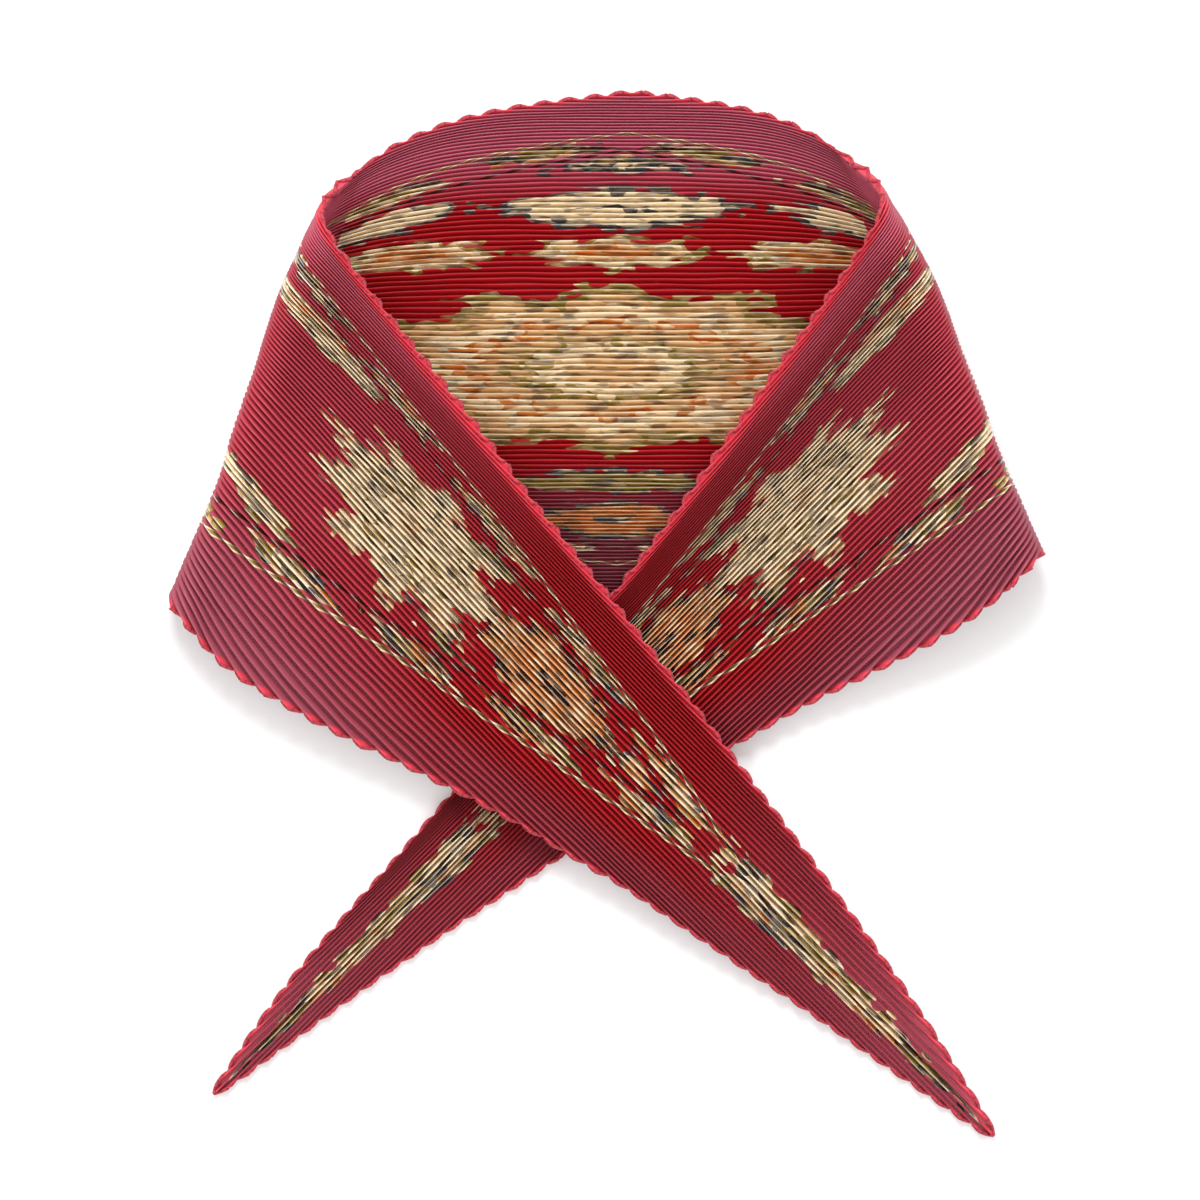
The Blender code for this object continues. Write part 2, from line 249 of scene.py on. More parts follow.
def fold_axis(side):
    """Neck end and unit direction of the side fold's outline, as plan vectors."""
    neck = np.array((*side["neck"], 0.0)) * MM
    corner = np.array((*side["corner"], 0.0)) * MM
    return neck, (corner - neck) / np.linalg.norm(corner - neck)


def fall(side, loop_height, distances):
    """Heights of the front's lower face, so far along a pleat from the top of the loop."""
    heights = np.array((loop_height, *side["fall_to"][1:])) * MM
    return np.maximum(curve_through(np.array(side["fall_at"]) * MM, heights, distances), 0.0)


def turn(start, start_way, end, end_way):
    """Cubic curve from one point and direction to another."""
    t = np.linspace(0, 1, LOOP_SAMPLES)[:, None]
    return (start * (1 + 2 * t) * (1 - t) ** 2 + end * t * t * (3 - 2 * t)
            + start_way * t * (1 - t) ** 2 - end_way * t * t * (1 - t))


def row_pleat(row):
    """How many pleats a row is from the neck corner."""
    return row // len(PHASES) + PHASES[row % len(PHASES)]


def row_w(row):
    """Where a row is across the cloth: 1 at the neck corner and -1 at the outer one."""
    return 1 - 2 * row_pleat(row) / PLEATS


def hem_length(row):
    """Length of a row from the middle of the back to the straight line of the hem."""
    straight = HALF_DIAGONAL * (1 - abs(row_w(row)))
    return min(max(straight, BLUNT_CORNER), HALF_DIAGONAL - BLUNT_END)


def distances_along(points):
    """How far every point is from the first, along the line through them."""
    return np.concatenate(((0,), np.cumsum(np.linalg.norm(np.diff(points, axis=0), axis=1))))


@functools.lru_cache(maxsize=None)
def pleat_path(row, sign):
    """Middle of the cloth along one row, with the lengths at which its side fold starts and ends."""
    side, w = SIDES[sign], row_w(row)
    neck, axis = fold_axis(side)
    nose = side["nose"] * MM
    outward = np.array((axis[1], -axis[0], 0.0)) * -sign
    silhouette = (neck + axis * smooth(side, "along", w) * MM
                  + outward * smooth(side, "bow", w) * MM)

    # the back: from its middle to the foot of the loop, level at first and then bending down
    origin = middle(w)
    reach, drop = (silhouette - axis * LOOP_EXTRA - origin)[:2]
    inward = nose / abs(np.cross(axis[:2], (1.0, 0.0)))
    share = np.linspace(0, 1 - inward / abs(reach), BACK_SAMPLES)[:, None]
    back = np.hstack((origin[0] + reach * share,
                      origin[1] + drop * share ** DIP_POWER,
                      np.full_like(share, PLY / 2)))
    foot = back[-1]
    back_way = np.array((reach, DIP_POWER * drop * share[-1, 0] ** (DIP_POWER - 1), 0.0))
    back_way /= np.linalg.norm(back_way)

    # the front: from the top of the loop to past the hem, on a steady curve
    start_degrees = smooth(side, "start", w)
    first_way = heading(side, start_degrees)
    top = silhouette + first_way * nose / abs(np.cross(axis[:2], first_way[:2]))
    whole = HALF_DIAGONAL * (1 - abs(w)) + 3 * PATH_STEP
    steps = np.arange(0, whole, PATH_STEP)
    front_length = max(whole - abs(foot[0]) - LOOP_CLOTH * nose, SHORTEST_FRONT)
    degrees = np.interp(steps, (0, front_length), (start_degrees, smooth(side, "end", w)))
    ways = np.array([heading(side, angle) for angle in degrees])
    front = np.vstack((top, top + np.cumsum(ways * PATH_STEP, axis=0)))
    height = np.interp(w, (CORNER_W, NECK_W), side["loop_height"][::-1])
    front[:, 2] = fall(side, height, np.append(steps, steps[-1] + PATH_STEP)) + PLY / 2

    swing = LOOP_SWING * nose
    slope = (front[1, 2] - front[0, 2]) / PATH_STEP
    loop = turn(foot, back_way * swing, front[0], (first_way + (0, 0, slope)) * swing)
    points = np.vstack((back, loop[1:-1], front)) - (ORIGIN[0] * MM, ORIGIN[1] * MM, 0)
    lengths = distances_along(points)
    return {"points": points, "lengths": lengths,
            "foot": lengths[len(back) - 1], "top": lengths[len(back) + len(loop) - 2]}


def follow(sign, rows, lengths):
    """Points and directions at a grid of lengths along the rows of one side."""
    spots = np.zeros((3, *lengths.shape, 3))
    for i, row in enumerate(rows):
        path = pleat_path(row, sign)
        for k, step in enumerate((-MM, 0, MM)):
            for axis in range(3):
                spots[k, i, :, axis] = np.interp(lengths[i] + step, path["lengths"],
                                                 path["points"][:, axis])
    return spots[1], unit(spots[2] - spots[0])


def unit(vectors):
    return vectors / np.linalg.norm(vectors, axis=-1, keepdims=True)


# ---- the pleated cloth ----

def ridge_share(rows):
    """0 at the valleys of the back and 1 at its ridges, for each row."""
    phase = np.array([PHASES[row % len(PHASES)] for row in rows])
    return 1 - np.abs(2 * phase - 1)


def crest_share(rows, on_front):
    """0 at the bottoms between pleats and 1 at the crests, on the side of the cloth that shows."""
    share = ridge_share(rows)
    return np.sin(math.pi / 2 * (1 - share if on_front else share))


def hem_lengths(rows):
    """Length of each row from the middle of the back to the hem."""
    return np.array([hem_length(row) for row in rows])


def ruffle(rows):
    """How wavy the hem is at each row: most around the two loops, less at the middle and the V."""
    on_neck = np.array([row > 0 and row_w(row) > 0 for row in rows])
    return np.interp(hem_lengths(rows), RUFFLE_AT, RUFFLE) * on_neck


@functools.lru_cache(maxsize=None)
def hem_outward(sign):
    """For every row of a side, the direction square to the hem and out of the cloth, at its end."""
    ends = np.array([[hem_length(row)] for row in range(ROWS)])
    points, ways = follow(sign, range(ROWS), ends)
    points, ways = points[:, 0], ways[:, 0]
    half = ROWS // 2
    along = unit(np.vstack((np.gradient(points[:half + 1], axis=0)[:-1],
                            np.gradient(points[half:], axis=0))))
    return unit(ways - along * np.sum(ways * along, axis=-1, keepdims=True))


def wandering(rows, lengths, seed):
    """Smooth noise from -1 to 1 for each pleat, along its length."""
    random = np.random.default_rng(seed)
    phases = random.uniform(0, 2 * math.pi, (PLEATS + 1, len(WAVES)))
    pleat = np.array([row // len(PHASES) for row in rows])
    share = np.array([PHASES[row % len(PHASES)] for row in rows])[:, None]
    noise = [sum(np.sin(2 * math.pi * lengths / (wave * MM) + phases[k, i][:, None])
                 for i, wave in enumerate(WAVES)) / len(WAVES)
             for k in (pleat, np.minimum(pleat + 1, PLEATS))]
    return noise[0] * (1 - share) + noise[1] * share


def swell(rows, lengths):
    """Slow waves that run over many pleats."""
    pleat = np.array([row_pleat(row) for row in rows])[:, None]
    return sum(np.sin(2 * math.pi * (lengths / (wave * MM) + pleat / across))
               for wave, across in SWELLS) / len(SWELLS)


def pleated(settings, points, ways, rows, lengths, feet, sign, on_front, outward):
    """Points of the folded cloth around a grid on its middle, and normals on its inner side."""
    to_end = hem_lengths(rows)[:, None] - np.abs(lengths)
    near = np.clip(1 - to_end / FLARE, 0, 1) ** 2
    wavy = ruffle(rows)[:, None]
    scallop = settings.lower_scallop + (settings.neck_scallop - settings.lower_scallop) * wavy
    from_seam = np.clip(np.abs(np.abs(lengths) - feet) / SEAM_FADE, 0, 1)
    bulge = near * scallop * (crest_share(rows, on_front)[:, None] - CREST_MIDDLE) * from_seam
    pleat = np.array([row_pleat(row) for row in rows])
    to_neck = -np.gradient(points, pleat, axis=0)
    across = to_neck - ways * np.sum(to_neck * ways, axis=-1, keepdims=True)
    inner = unit(np.cross(ways, across)) * sign
    share = ridge_share(rows)[:, None]
    height = np.array([HEIGHTS[row % len(HEIGHTS)] for row in rows])[:, None]
    along = lengths * sign
    stray = settings.wander * (wandering(rows, along, LINE_SEED) + SWELL_SHARE * swell(rows, along))
    shift = settings.pleat_lean * share * (1 - LEAN_LOST * near * wavy) + stray
    pitch = np.linalg.norm(across, axis=-1)
    narrow = np.clip((NARROW_PITCH - pitch) / MM, 0, 1)
    pressed = np.clip(2 - to_end / PRESSED, 0, 1) * np.clip(wavy * 3 - 2, 0, 1)
    depth = settings.pleat_depth * (1 - NARROW_LOSS * narrow - PRESSED_LOSS * pressed
                                    + DEPTH_STRAY * wandering(rows, along, DEPTH_SEED))
    rise = (height - 0.5) * depth * (1 - WAVY_LOSS * near * wavy)
    folded = (points + across * shift[..., None] + inner * rise[..., None]
              + outward * bulge[..., None])
    folded[:, :, 2] += (settings.pleat_depth - PLY) / 2 + CLEARANCE
    folded[:, :, 2] = np.maximum(folded[:, :, 2], CLEARANCE / 2)
    down_rows = np.gradient(folded, axis=0)
    along_rows = np.gradient(folded, axis=1)
    return folded, unit(np.cross(along_rows, -down_rows))


def smooth_mesh(name, vertices, faces):
    mesh = bpy.data.meshes.new(name)
    mesh.from_pydata(vertices, [], faces)
    mesh.polygons.foreach_set("use_smooth", np.ones(len(mesh.polygons), dtype=bool))
    return mesh


def grid_mesh(name, points, normals, places, flip):
    """Mesh of one sheet over a grid of points, with its place on the flat cloth as UV."""
    rows, columns = points.shape[:2]
    index = np.arange(rows * columns).reshape(rows, columns)
    corners = [index[:-1, :-1], index[1:, :-1], index[1:, 1:], index[:-1, 1:]]
    quads = np.stack(corners[::-1] if flip else corners, axis=-1).reshape(-1, 4)
    mesh = smooth_mesh(name, points.reshape(-1, 3).tolist(), quads.tolist())
    loops = np.zeros(len(mesh.loops), dtype=np.int32)
    mesh.loops.foreach_get("vertex_index", loops)
    flat = places.reshape(-1, 2)
    for layer, values in (("Cloth", flat / (2 * HALF_DIAGONAL) + 0.5),
                          ("OFBake", (flat - flat.min(axis=0)) / np.ptp(flat, axis=0))):
        uv = mesh.uv_layers.new(name=layer)
        uv.data.foreach_set("uv", values[loops].astype(np.float32).ravel())
    mesh.uv_layers["Cloth"].active_render = True
    turned = normals * (-1 if flip else 1)
    mesh.normals_split_custom_set_from_vertices(turned.reshape(-1, 3).tolist())
    mesh.update()
    return mesh


def hem_mesh(name, edges, radius):
    """Rolled edge along one or more edges of the cloth, each given by its points and normals."""
    vertices, faces, places = [], [], []
    for points, normals, travelled in edges:
        along = unit(np.gradient(points, axis=0))
        normal = unit(normals - along * np.sum(normals * along, axis=-1, keepdims=True))
        outward = np.cross(normal, along)
        first = len(vertices)
        for step in range(HEM_SIDES):
            angle = 2 * math.pi * step / HEM_SIDES
            ring = points + radius * (math.cos(angle) * normal + math.sin(angle) * outward)
            ring[:, 2] = np.maximum(ring[:, 2], 0.0)
            vertices += ring.tolist()
            places += [(length, step / HEM_SIDES) for length in travelled]
        count = len(points)
        for step in range(HEM_SIDES):
            start, after = first + step * count, first + (step + 1) % HEM_SIDES * count
            faces += [(start + i, start + i + 1, after + i + 1, after + i) for i in range(count - 1)]
        faces.append([first + step * count for step in range(HEM_SIDES)])
        faces.append([first + step * count - 1 for step in range(HEM_SIDES, 0, -1)])
    mesh = smooth_mesh(name, vertices, faces)
    uv = mesh.uv_layers.new(name="Hem")
    for loop in mesh.loops:
        uv.data[loop.index].uv = places[loop.vertex_index]
    mesh.update()
    return mesh


def runs(flags):
    """Start and end of every run of at least three true values."""
    edges = np.flatnonzero(np.diff(np.concatenate(((0,), flags.astype(int), (0,)))))
    return [(first, last) for first, last in zip(edges[::2], edges[1::2]) if last - first > 2]


def place_piece(name, mesh, material):
    """A piece of the scarf, on its body and in its slot."""
    piece = bpy.data.objects.new(name, mesh)
    bpy.context.scene.collection.objects.link(piece)
    mesh.materials.append(material)
    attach(piece, BODY)
    return piece


def add_cloth(settings, node, sign, rows, points, ways, lengths, feet, outward, ended):
    """One stretch of the cloth and its hem.  The grid has a spare column beyond each end."""
    on_front = node != "back"
    folded, normals = pleated(settings, points, ways, rows, lengths, feet, sign, on_front, outward)
    folded, normals, lengths = folded[:, 1:-1], normals[:, 1:-1], lengths[:, 1:-1]
    v = np.array([row_w(row) for row in rows])[:, None] * HALF_DIAGONAL
    places = np.stack((lengths, np.broadcast_to(v, lengths.shape)), axis=-1)
    flip = (sign > 0) == on_front
    mesh = grid_mesh(f"{node}_silk", folded, normals, places, flip)
    piece = place_piece(f"{node}_silk", mesh, silk_material(settings, on_front))
    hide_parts(node)

    edges = []
    for column, flags in ended.items():
        for first, last in runs(flags):
            first, last = max(first - 1, 0), last + 1
            edge, upright = folded[first:last, column], normals[first:last, column]
            if on_front and first == 0:
                edge = np.vstack((folded[0, :1], edge))
                upright = np.vstack((normals[0, :1], upright))
            if on_front and last >= len(rows):
                edge = np.vstack((edge, folded[-1, :1]))
                upright = np.vstack((upright, normals[-1, :1]))
            edges.append((edge, upright, distances_along(edge)))
    hem = place_piece(f"{node}_hem", hem_mesh(f"{node}_hem", edges, settings.hem_radius),
                      hem_material(settings))


def spare_ends(lengths):
    """The grid of lengths with one more column at each end, for the normals at the seams."""
    step = np.minimum(np.abs(lengths[:, 1:2] - lengths[:, :1]), SPARE_STEP)
    return np.hstack((lengths[:, :1] - step, lengths, lengths[:, -1:] + step))


def add_back(settings):
    """The back: from the foot of one side fold to the foot of the other."""
    rows = list(range(ROWS))
    halves, ended, feet = {}, {}, {}
    hems = hem_lengths(rows)
    for sign, column in ((-1, 0), (1, -1)):
        feet[sign] = np.array([[pleat_path(row, sign)["foot"]] for row in rows])
        last = np.minimum(feet[sign][:, 0], hems)
        half = spare_ends(last[:, None] * np.linspace(0, 1, BACK_COLUMNS // 2 + 1))[:, 1:]
        halves[sign] = (half, *follow(sign, rows, half))
        ended[column] = hems <= feet[sign][:, 0]
    left, left_points, left_ways = halves[-1]
    right, right_points, right_ways = halves[1]
    points = np.hstack((left_points[:, :0:-1], right_points))
    ways = np.hstack((-left_ways[:, :0:-1], right_ways))
    lengths = np.hstack((-left[:, :0:-1], right))
    outward = np.where(lengths[..., None] < 0, hem_outward(-1)[:, None], hem_outward(1)[:, None])
    feet = np.where(lengths < 0, feet[-1], feet[1])
    add_cloth(settings, "back", 1, rows, points, ways, lengths, feet, outward, ended)


def add_side(settings, side, node, start, end, columns):
    """A stretch of one side, on the rows that reach past its start."""
    sign = side["sign"]
    rows, firsts, lasts, ended = [], [], [], []
    for row, hem in enumerate(hem_lengths(range(ROWS))):
        path = pleat_path(row, sign)
        first, limit = start(path), end(path)
        if min(hem, limit) - first > LEAST_END:
            rows.append(row)
            firsts.append(first)
            lasts.append(min(hem, limit))
            ended.append(hem <= limit)
    share = np.linspace(0, 1, columns + 1)
    lengths = np.array(firsts)[:, None] * (1 - share) + np.array(lasts)[:, None] * share
    lengths = spare_ends(lengths)
    points, ways = follow(sign, rows, lengths)
    feet = np.array([[pleat_path(row, sign)["foot"]] for row in rows])
    add_cloth(settings, node, sign, rows, points, ways, lengths, feet,
              hem_outward(sign)[rows][:, None], {-1: np.array(ended)})


# ---- materials ----
# Places are in metres on the flat cloth: u along the pleats from the diagonal, v across them and up
# to the neck, and to_hem straight to the nearest hem.

# The print: how its edges stray, and the sizes of its strokes, tiles and frame.
BLEED = 0.7 * MM  # by which an ink runs at its edge
STRAY_SCALE, STRAY = 95.0, (0.026, 0.022, 0.0)
STROKE_SIZE = (0.013, 0.0065)
TILE_SIZE = (0.026, 0.0085)
OUTER_LINE, INNER_LINE = 5.4 * MM, 3.4 * MM
INSIDE_LINE = 9 * MM  # from the edge of a frame line to the motifs or tiles inside it
TILES_TO_LINE = 4 * MM
TILES_APART, TILES_LONG = 46 * MM, 30 * MM
END_STRIP_U, END_STRIP_FROM = (0.632, 0.452), 0.462
END_STRIP_WIDTH = 0.048  # half of it, where it is widest

# Where the ground and the pleats change: the place where a change starts, and where it is complete.
# The chalkier ground below is a painted pale haze, and the paler one is painted light at the neck.
CORNER_V, EDGE_TO_HEM, TAIL_U = (-0.19, -0.34), (0.085, 0.035), (0.43, 0.58)  # chalkier
NECK_V, FOLD_U = (0.31, 0.42), (0.33, 0.22)  # paler
OPENING_U, CLOSING_U = (0.10, 0.19), (0.25, 0.46)  # the pleats' ends at the neck hem
# The bright band at the hem is painted light on the hem's facets.
HEM_BAND, NECK_BAND, OPEN_BAND = 4.6 * MM, 4 * MM, 22 * MM  # widths of the bright band there
STITCH = 3.4 * MM  # from one stitch of the hem to the next

# What differs between the sides of the cloth: how strong the strokes are, and the painted highlight
# on the crests.
OUTER_SIDE = {"name": "outer", "strokes": 0.85, "highlight": 0.50}
INNER_SIDE = {"name": "inner", "strokes": 0.60, "highlight": 0.25}
# Colour of the painted highlight on the crests.
CREST_HIGHLIGHT_COLOUR = (1.0, 0.93, 0.84, 1.0)
# Colour of the painted shade in the valleys between pleats.
VALLEY_SHADE = (0.02, 0.004, 0.004, 1.0)

# Values of the shaders that are the same all over.
SHEEN = (1.0, 0.55, 0.55, 1.0)
SILK = {"Roughness": 0.40, "Specular IOR Level": 0.20, "Sheen Weight": 0.06, "Sheen Roughness": 0.45,
        "Sheen Tint": SHEEN}
HEM = {"Specular IOR Level": 0.30, "Sheen Weight": 0.15, "Sheen Tint": SHEEN}
FLOOR = {"Roughness": 0.9, "Specular IOR Level": 0.1, "Emission Color": (1.0, 1.0, 1.0, 1.0),
         "Emission Strength": 0.10}


def new_material(name, values):
    """A material, what adds its nodes, and its shader with these values set on it."""
    material = bpy.data.materials.new(name)
    material.use_nodes = True
    shader = material.node_tree.nodes["Principled BSDF"]
    for socket, value in values.items():
        shader.inputs[socket].default_value = value
    return material, Ink(material), shader


class Ink:
    """Short names for adding shader nodes to a material."""

    def __init__(self, material):
        self.tree = material.node_tree
        self.nodes = self.tree.nodes

    def add(self, kind, inputs=(), **settings):
        node = self.nodes.new(kind)
        for name, value in settings.items():
            setattr(node, name, value)
        for socket, value in dict(inputs).items():
            self.set(node.inputs[socket], value)
        return node

    def set(self, socket, value):
        if isinstance(value, bpy.types.NodeSocket):
            self.tree.links.new(value, socket)
        else:
            socket.default_value = value

    def math(self, operation, a, b=0.0, c=0.0, clamp=False):
        node = self.add("ShaderNodeMath", {0: a, 1: b, 2: c}, operation=operation, use_clamp=clamp)
        return node.outputs[0]

    def times(self, a, b):
        return self.math("MULTIPLY", a, b)

    def line(self, value, slope, start, clamp=False):
        return self.math("MULTIPLY_ADD", value, slope, start, clamp=clamp)

    def mix(self, factor, under, over):
        """Colour over on colour under, as far as factor says."""
        node = self.add("ShaderNodeMix", {0: factor, 6: under, 7: over}, data_type="RGBA")
        return node.outputs[2]

    def local(self, place, middle, size, degrees=0.0):
        """A place as seen from a motif's middle, in units of the motif's size."""
        node = self.add("ShaderNodeMapping", {
            "Vector": place, "Location": (*middle, 0.0),
            "Rotation": (0.0, 0.0, math.radians(degrees)), "Scale": (*size, 1.0)},
            vector_type="TEXTURE")
        return node.outputs[0]

    def distance(self, place):
        return self.add("ShaderNodeVectorMath", {0: place}, operation="LENGTH").outputs["Value"]

    def split(self, place):
        node = self.add("ShaderNodeSeparateXYZ", {0: place})
        return node.outputs[0], node.outputs[1]

    def under(self, value, limit, sharpness):
        """1 where value is under limit and 0 beyond it, with a short slope between."""
        return self.line(value, -sharpness, limit * sharpness + 0.5, clamp=True)

    def between(self, value, low, high):
        """1 where value is between low and high, with the ink's own run at both edges."""
        below = self.under(value, low, 1 / BLEED)
        return self.times(self.under(value, high, 1 / BLEED), self.math("SUBTRACT", 1.0, below))

    def slope(self, value, zero, one):
        """From 0 to 1 as value goes from the place zero to the place one."""
        return self.line(value, 1 / (one - zero), -zero / (one - zero), clamp=True)

    def ramp(self, value, stops):
        """Steps of colour, each from its place on, with how much it covers."""
        node = self.add("ShaderNodeValToRGB", {"Fac": value})
        node.color_ramp.interpolation = "CONSTANT"
        elements = node.color_ramp.elements
        while len(elements) < len(stops):
            elements.new(1.0)
        for element, (position, colour, cover) in zip(elements, stops):
            element.position = position
            element.color = (*colour, cover)
        return node

    def bands(self, value, stops):
        """Steps of colour, each from its place on."""
        return self.ramp(value, [(position, colour, 1.0) for position, colour in stops]).outputs[0]

    def row(self, u, v, period, height):
        """Places in a row of like motifs, so far apart, as seen from the nearest one's middle."""
        turned = self.math("PINGPONG", self.math("ADD", u, period / 2), period / 2)
        x = self.math("SUBTRACT", period / 2, turned)
        return self.add("ShaderNodeCombineXYZ",
                        {0: x, 1: self.math("SUBTRACT", v, height)}).outputs[0]

    def bump(self, shader, relief, strength, distance):
        bump = {"Height": relief, "Strength": strength, "Distance": distance}
        self.set(shader.inputs["Normal"], self.add("ShaderNodeBump", bump).outputs[0])


class Print:
    """The print as laid down so far: its colour, and where it covers the plain ground."""

    def __init__(self, ink, ground):
        self.ink = ink
        self.ground = ground
        self.colour = ground
        self.cover = 0.0
        self.fine = 0.0

    def lay(self, mask, colour):
        """An ink over what is there, as far as the mask says."""
        self.colour = self.ink.mix(mask, self.colour, colour)
        self.cover = self.ink.math("MAXIMUM", self.cover, mask)

    def rosette(self, place, middle, size, petals, depth, rings):
        """A flower of flat rings from its middle out, each as (where it starts, its colour)."""
        ink = self.ink
        near = ink.local(place, middle, size)
        x, y = ink.split(near)
        lobes = ink.math("COSINE", ink.times(ink.math("ARCTAN2", y, x), petals))
        value = ink.times(ink.distance(near), ink.line(lobes, -depth / 2, 1 + depth / 2))
        self.lay(ink.under(value, 1.0, min(size) / BLEED), ink.bands(value, rings))

    def wipe(self, mask):
        """Back to the plain ground."""
        self.colour = self.ink.mix(mask, self.colour, self.ground)
        self.cover = self.ink.times(self.cover, self.ink.math("SUBTRACT", 1.0, mask))

    def leaf(self, place, middle, size, degrees, colour, rim):
        """A pointed leaf with a rim and a mark in its middle."""
        ink = self.ink
        x, y = ink.split(ink.local(place, middle, size, degrees))
        value = ink.line(x, x, ink.math("ABSOLUTE", y))
        self.lay(ink.under(value, 1.0, min(size) / BLEED),
                 ink.bands(value, ((0.0, rim), (0.10, colour), (0.78, rim))))


class Cloth:
    """Where a point of the material is on the flat cloth, as node outputs."""

    def __init__(self, ink, outer_side):
        uv = ink.add("ShaderNodeUVMap", uv_map="Cloth").outputs[0]
        self.flat = ink.add("ShaderNodeMapping", {
            "Vector": uv, "Location": (-HALF_DIAGONAL, -HALF_DIAGONAL, 0.0),
            "Scale": (2 * HALF_DIAGONAL, 2 * HALF_DIAGONAL, 1.0)}).outputs[0]
        u, self.v = ink.split(self.flat)
        self.u = ink.math("ABSOLUTE", u)
        sides = ink.math("ADD", self.u, ink.math("ABSOLUTE", self.v))
        self.to_hem = ink.times(ink.math("SUBTRACT", HALF_DIAGONAL, sides), 1 / math.sqrt(2))
        self.below = ink.math("LESS_THAN", self.v, 0.0)
        phase = ink.math("FRACT", ink.times(ink.math("SUBTRACT", HALF_DIAGONAL, self.v),
                                            PLEATS / (2 * HALF_DIAGONAL)))
        from_middle = ink.math("ABSOLUTE", ink.math("SUBTRACT", phase, 0.5))
        self.from_crest = ink.math("SUBTRACT", 0.5, from_middle) if outer_side else from_middle


@functools.lru_cache(maxsize=None)
def silk_material(settings, outer_side):
    """Printed silk twill, for the pieces that show the cloth's outer or its inner side."""
    side = OUTER_SIDE if outer_side else INNER_SIDE
    material, ink, shader = new_material(f"printed_silk_twill_{side['name']}_side", SILK)
    cloth = Cloth(ink, outer_side)
    design = lay_print(ink, settings, stray_place(ink, cloth), cloth.to_hem, outer_side)
    colour = add_strokes(ink, settings, cloth, design, side["strokes"])

    # the plain red is deeper in the middle of the cloth; a paler, hazier red painted towards the
    # corners and ends stands in for a haze of light, and the ends are warmer
    plain = ink.math("SUBTRACT", 1.0, design.cover)
    near_edge = ink.times(ink.slope(cloth.to_hem, *EDGE_TO_HEM), ink.times(cloth.below, 0.6))
    painted_haze = ink.math("MAXIMUM", ink.slope(cloth.v, *CORNER_V), near_edge)
    # paler at the neck: a lighter red painted where the loop and the tight pleats shade the ground
    pale = ink.slope(cloth.v, *NECK_V)
    if outer_side:
        tail = ink.slope(cloth.u, *TAIL_U)
        painted_haze = ink.math("MAXIMUM", painted_haze, tail)
        pale = ink.times(ink.line(pale, 0.40, 0.35), ink.slope(cloth.u, *FOLD_U))
    painted_haze = ink.times(painted_haze, plain)
    colour = ink.mix(painted_haze, colour, (*settings.haze_red, 1.0))
    if outer_side:
        warm = ink.times(ink.times(tail, plain), 0.4)
        colour = ink.mix(warm, colour, (*settings.hem_red, 1.0))
    pale = ink.times(pale, plain)
    colour = ink.mix(pale, colour, (*settings.neck_light_red, 1.0))

    # painted light at the hem: a lighter copy of the hem red, lightest on the crests and less lit
    # towards the valleys, most where the pleats open there
    near_hem = hem_band(ink, cloth, outer_side)
    facets = ink.line(ink.slope(cloth.from_crest, 0.20, 0.45), -0.5, 0.95)
    bright = tuple(1.4 * c for c in settings.hem_red)
    colour = ink.mix(ink.times(near_hem, facets), colour, (*bright, 1.0))

    # a painted highlight on the crests, and painted shade in the valleys between them but for the
    # hazy corners and the hem band
    crest_highlight = ink.times(ink.under(cloth.from_crest, 0.050, 30.0),
                     ink.line(design.cover, side["highlight"], 0.02))
    colour = ink.mix(crest_highlight, colour, CREST_HIGHLIGHT_COLOUR)
    valley_shade_strength = 0.20
    if outer_side:
        valley_shade_strength = ink.line(design.cover, 0.20, ink.line(pale, -0.6, 0.28))
    clear = ink.math("SUBTRACT", 1.0, ink.math("MAXIMUM", painted_haze, near_hem))
    valley_shade = ink.math("MULTIPLY", ink.slope(cloth.from_crest, 0.22, 0.42),
                      ink.times(valley_shade_strength, clear), clamp=True)
    colour = ink.mix(valley_shade, colour, VALLEY_SHADE)
    # painted light in the valleys of the hazy corners and ends, so that they read less shaded
    if outer_side:
        lit = ink.times(ink.line(tail, 0.85, 0.10), painted_haze)
        lit = ink.times(ink.slope(cloth.from_crest, 0.15, 0.40), lit)
        colour = ink.mix(lit, colour, (*settings.valley_light_red, 1.0))
    ink.set(shader.inputs["Base Color"], colour)

    # the grain of the threads and the ridges of the twill
    grain = ink.add("ShaderNodeTexNoise", {"Vector": cloth.flat, "Scale": 700.0, "Detail": 0.0},
                    noise_dimensions="2D").outputs["Fac"]
    twill = ink.add("ShaderNodeTexWave", {
        "Vector": ink.local(cloth.flat, (0.0, 0.0), (1.0, 1.0), 18.0), "Scale": 500.0,
        "Distortion": 0.0, "Detail": 0.0}).outputs["Fac"]
    relief = ink.line(grain, 0.6, ink.times(twill, 0.4))
    ink.bump(shader, relief, 0.25, 0.12 * MM)
    return material


def stray_place(ink, cloth):
    """Where the print is read: the printer's hand lets its edges stray by a few millimetres."""
    place = ink.add("ShaderNodeCombineXYZ", {0: cloth.u, 1: cloth.v}).outputs[0]
    shake = ink.add("ShaderNodeTexNoise", {"Vector": cloth.flat, "Scale": STRAY_SCALE, "Detail": 0.0},
                    noise_dimensions="2D").outputs["Color"]
    shaken = ink.add("ShaderNodeVectorMath", {0: shake, 1: (0.5, 0.5, 0.5)},
                     operation="SUBTRACT").outputs[0]
    return ink.add("ShaderNodeVectorMath", {0: shaken, 1: STRAY, 2: place},
                   operation="MULTIPLY_ADD").outputs[0]


